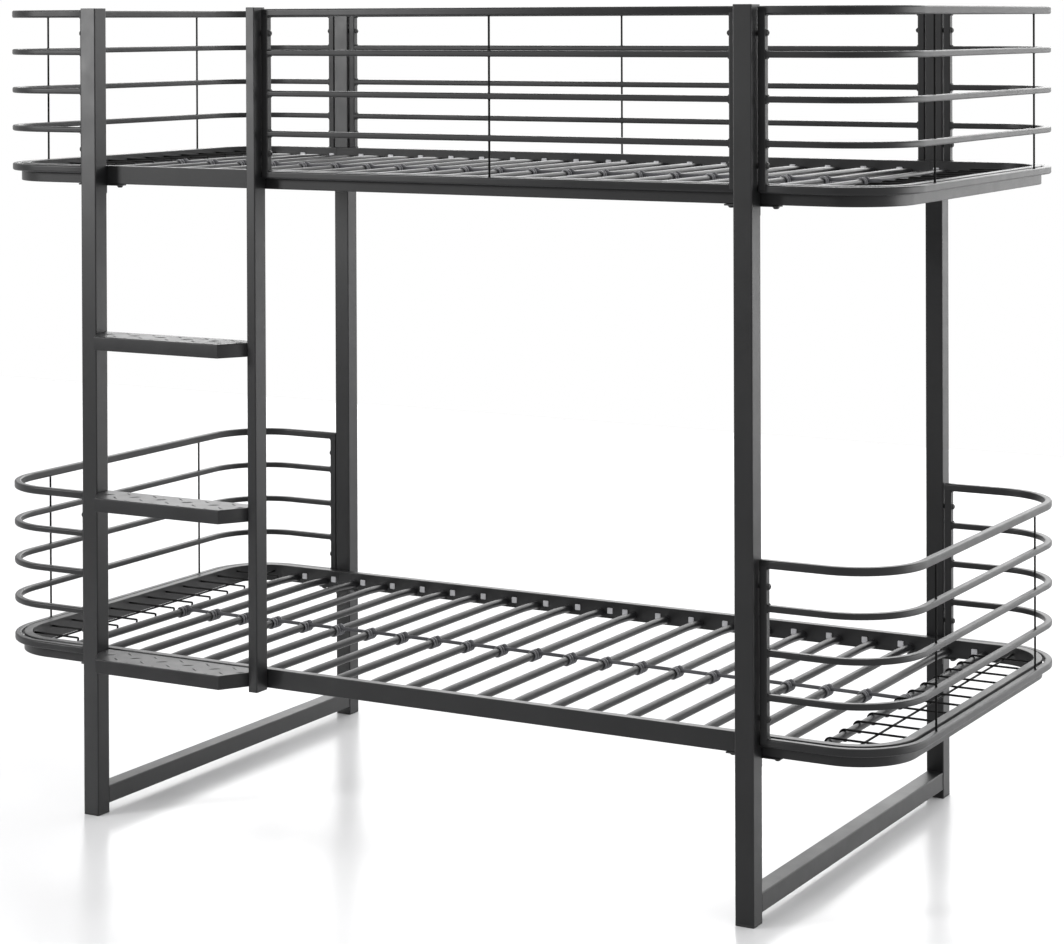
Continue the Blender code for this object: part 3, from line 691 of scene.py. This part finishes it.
def make_guard(name, node, level, plan, uprights, wires):
    """One guard: bars with uprights, thin vertical wires, and weld beads."""
    low = RAIL_LOW[level]
    bars, lines, beads = guard_bars(low, plan), [], []
    square = rounded_section(UPRIGHT, UPRIGHT, UPRIGHT_ROUND)
    for x, y, inward in uprights:
        bars.append(straight(square, (x, y, low + BARS[0][0] + 0.006), (x, y, low + BARS[-1][0] + 0.004),
                             up=BACKWARD))
        edge = x + inward * (UPRIGHT / 2 + 0.0002)
        beads += [weld((edge, y - 0.0062, low + z), (edge, y + 0.0062, low + z), 0.0048)
                  for z, _ in inner_edges()]
    top = low + sum(BARS[-1])
    for x, y in wires:
        lines.append(straight(round_section(GUARD_WIRE, 10), (x, y, low + 0.030), (x, y, top - 0.008),
                              up=BACKWARD))
        lines += [turned([(0.0030, 0.0), (0.0027, 0.0006), (0.0019, 0.0016)], (x, y, low + z - way * 0.0001),
                         (0.0, 0.0, way), sides=10) for z, way in inner_edges()]
    piece(f"{name}_bars", bars, frame_coat, [node])
    piece(f"{name}_wires", lines, wire_coat)
    piece(f"{name}_welds", beads, frame_coat)


def make_guards():
    """Bent guards round both ends of both bunks and straight ones on the upper bunk."""
    start = POST_X + POST / 2 + GAP + UPRIGHT / 2
    front, back = MID_Y - GUARD_Y, MID_Y + GUARD_Y
    for level in LEVELS:
        for side_name, side in SIDES.items():
            plan = bent_plan(side, start, GUARD_Y, GUARD_X, GUARD_R, steps=20)
            uprights = [(side * start, y, side) for y in (front, back)]
            wires = [(side * GUARD_X, MID_Y + s * END_WIRE_Y) for s in (-1, 1)]
            make_guard(f"end_guard_{level}_{side_name}", f"guard_{level}_{side_name}", level, plan,
                       uprights, wires)
    inner = POST_X - POST / 2 - GAP - UPRIGHT / 2
    ladder = LADDER_X + LADDER_W / 2 + GAP + UPRIGHT / 2
    for face_name, y, first in (("front", front, ladder), ("back", back, -inner)):
        middle = (first + inner) / 2
        plan = np.array([(first, y), (middle, y), (inner, y)])
        make_guard(f"long_guard_{face_name}", f"guard_upper_{face_name}", "upper", plan,
                   [(first, y, 1.0), (inner, y, -1.0)], [(middle, y)])


def make_bolts():
    """Guard bolts with spacers and cap nuts, and the bolts under the rings."""
    outer = POST_X + POST / 2 + GAP + UPRIGHT
    inner = POST_X - POST / 2 - GAP - UPRIGHT
    for level in LEVELS:
        for (face_name, face), (side_name, side) in ((f, s) for f in FACES.items() for s in SIDES.items()):
            corner, y = f"{level}_{face_name}_{side_name}", MID_Y + face * GUARD_Y
            through = level == "upper" and (face_name, side_name) != ("front", "left")
            away, toward = (side, 0.0, 0.0), (-side, 0.0, 0.0)
            for place, height in zip(("low", "high"), BOLT_Z):
                z = RAIL_LOW[level] + height
                shapes = button_bolt((side * outer, y, z), away)
                shapes.append(spacer((side * (POST_X + POST / 2), y, z), away))
                if through:
                    shapes += cap_nut((side * inner, y, z), toward)
                    shapes.append(spacer((side * (POST_X - POST / 2), y, z), toward))
                piece(f"guard_bolt_{corner}_{place}", shapes, bolt_black,
                      [f"bolt_{corner}_{place}"])
            seat_y, seat_z = MID_Y + face * (RING_Y - RAIL_W / 2 - 0.0015), RAIL_LOW[level] - BRACKET_SEAT
            shapes = []
            for x in (side * POST_X - BRACKET_BOLT, side * POST_X + BRACKET_BOLT):
                shapes += button_bolt((x, seat_y, seat_z), (0.0, 0.0, -1.0), 0.0115, 0.0042)
            piece(f"bracket_bolts_{corner}", shapes, bolt_black)
    x, y = LADDER_X + LADDER_W / 2, MID_Y - GUARD_Y
    for place, height in zip(("low", "high"), BOLT_Z):
        z = RAIL_LOW["upper"] + height
        shapes = button_bolt((x + GAP + UPRIGHT, y, z), (1.0, 0.0, 0.0))
        shapes.append(spacer((x, y, z), (1.0, 0.0, 0.0)))
        piece(f"ladder_bolt_{place}", shapes, bolt_black, [f"bolt_ladder_{place}"])


# ---- camera, floor and light --------------------------------------------
CAMERA_PLACE = (2.8749, -5.0522, 1.6515)
CAMERA_TURN = (29.239, -0.476, -0.207)    # yaw, pitch and roll in degrees
CAMERA_LENS, CAMERA_SENSOR = 93.91, 36.0
CAMERA_SHIFT = -0.4028                    # keeps the posts upright with the camera near level
FLOOR = ((-5.6, -8.0), (7.0, 5.0))        # near left and far right corners
LIGHTS = (                                # name, place, target, size and watts
    ("back_box", (-1.0, 6.0, 3.6), (0.0, 0.0, 0.6), (9.0, 3.0), 380.0),
    ("right_box", (6.5, 3.2, 1.5), (0.6, 0.0, 1.0), (5.0, 3.4), 260.0),
    ("corner_box", (3.0, 6.2, 0.9), (0.4, 0.0, 1.0), (1.8, 1.6), 30.0),
    ("left_strip", (-4.6, -5.0, 2.9), (-0.7, -0.4, 1.6), (1.2, 1.6), 290.0),
    ("high_front", (0.8, -3.4, 5.2), (0.0, 0.0, 1.0), (5.0, 0.9), 40.0),
)


def placed(right, up, back, place):
    """Matrix of an object whose own axes point right, up and back, at a place."""
    rows = np.column_stack([right, up, back, place]).tolist()
    return Matrix(rows + [(0.0, 0.0, 0.0, 1.0)])


def make_camera():
    """Long lens at the height of a standing eye, almost level, looking along the bed's
    front from its right-hand end."""
    yaw, pitch, roll = (math.radians(v) for v in CAMERA_TURN)
    ahead = np.array((-math.sin(yaw) * math.cos(pitch), math.cos(yaw) * math.cos(pitch), math.sin(pitch)))
    level = np.array((math.cos(yaw), math.sin(yaw), 0.0))
    upright = np.cross(level, ahead)
    right = level * math.cos(roll) + upright * math.sin(roll)
    up = upright * math.cos(roll) - level * math.sin(roll)
    lens = bpy.data.cameras.new("studio_camera")
    lens.lens, lens.sensor_width, lens.sensor_fit = CAMERA_LENS, CAMERA_SENSOR, "HORIZONTAL"
    lens.shift_x, lens.shift_y = 0.0, CAMERA_SHIFT
    camera = bpy.data.objects.new("studio_camera", lens)
    bpy.context.collection.objects.link(camera)
    camera.matrix_world = placed(right, up, -ahead, CAMERA_PLACE)
    bpy.context.scene.camera = camera


def add_light(name, place, target, size, power):
    """Rectangular soft box at a place, facing a target."""
    data = bpy.data.lights.new(name, "AREA")
    data.shape, data.size, data.size_y, data.energy = "RECTANGLE", size[0], size[1], power
    light = bpy.data.objects.new(name, data)
    bpy.context.collection.objects.link(light)
    back = unit(np.subtract(place, target))
    side = unit(np.cross(UP, back))
    light.matrix_world = placed(side, np.cross(back, side), back, place)


def make_floor():
    """Pale, slightly glossy studio floor."""
    (left, near), (right, far) = FLOOR
    mesh = bpy.data.meshes.new("studio_floor")
    corners = [(left, near, 0.0), (right, near, 0.0), (right, far, 0.0), (left, far, 0.0)]
    mesh.from_pydata(corners, [], [(0, 1, 2, 3)])
    mat = bpy.data.materials.new("pale_floor")
    mat.use_nodes = True
    shader = mat.node_tree.nodes["Principled BSDF"]
    shader.inputs["Base Color"].default_value = (0.72, 0.72, 0.727, 1.0)
    shader.inputs["Roughness"].default_value = 0.22
    mesh.materials.append(mat)
    floor = bpy.data.objects.new("studio_floor", mesh)
    bpy.context.collection.objects.link(floor)


def make_surround():
    """White surround that dims smoothly toward the front left, by the dot product of
    the direction with a fixed one."""
    world = bpy.data.worlds.new("studio_surround")
    world.use_nodes = True
    nodes, links = world.node_tree.nodes, world.node_tree.links
    place = nodes.new("ShaderNodeTexCoord")
    toward = nodes.new("ShaderNodeVectorMath")
    toward.operation = "DOT_PRODUCT"
    toward.inputs[1].default_value = (-0.47, -0.88, -0.05)
    fall = nodes.new("ShaderNodeMapRange")
    fall.interpolation_type = "SMOOTHSTEP"
    fall.inputs["From Min"].default_value, fall.inputs["From Max"].default_value = 0.35, 0.97
    fall.inputs["To Min"].default_value, fall.inputs["To Max"].default_value = 1.0, 0.25
    links.new(place.outputs["Generated"], toward.inputs[0])
    links.new(toward.outputs["Value"], fall.inputs["Value"])
    links.new(fall.outputs["Result"], nodes["Background"].inputs["Strength"])
    nodes["Background"].inputs["Color"].default_value = (1.0, 1.0, 1.0, 1.0)
    bpy.context.scene.world = world
    bpy.context.scene.view_settings.view_transform = "Standard"


make_posts()
make_ladder()
make_rings()
make_slats()
make_mesh_ends()
make_guards()
make_bolts()
make_camera()
make_floor()
make_surround()
for row in LIGHTS:
    add_light(*row)
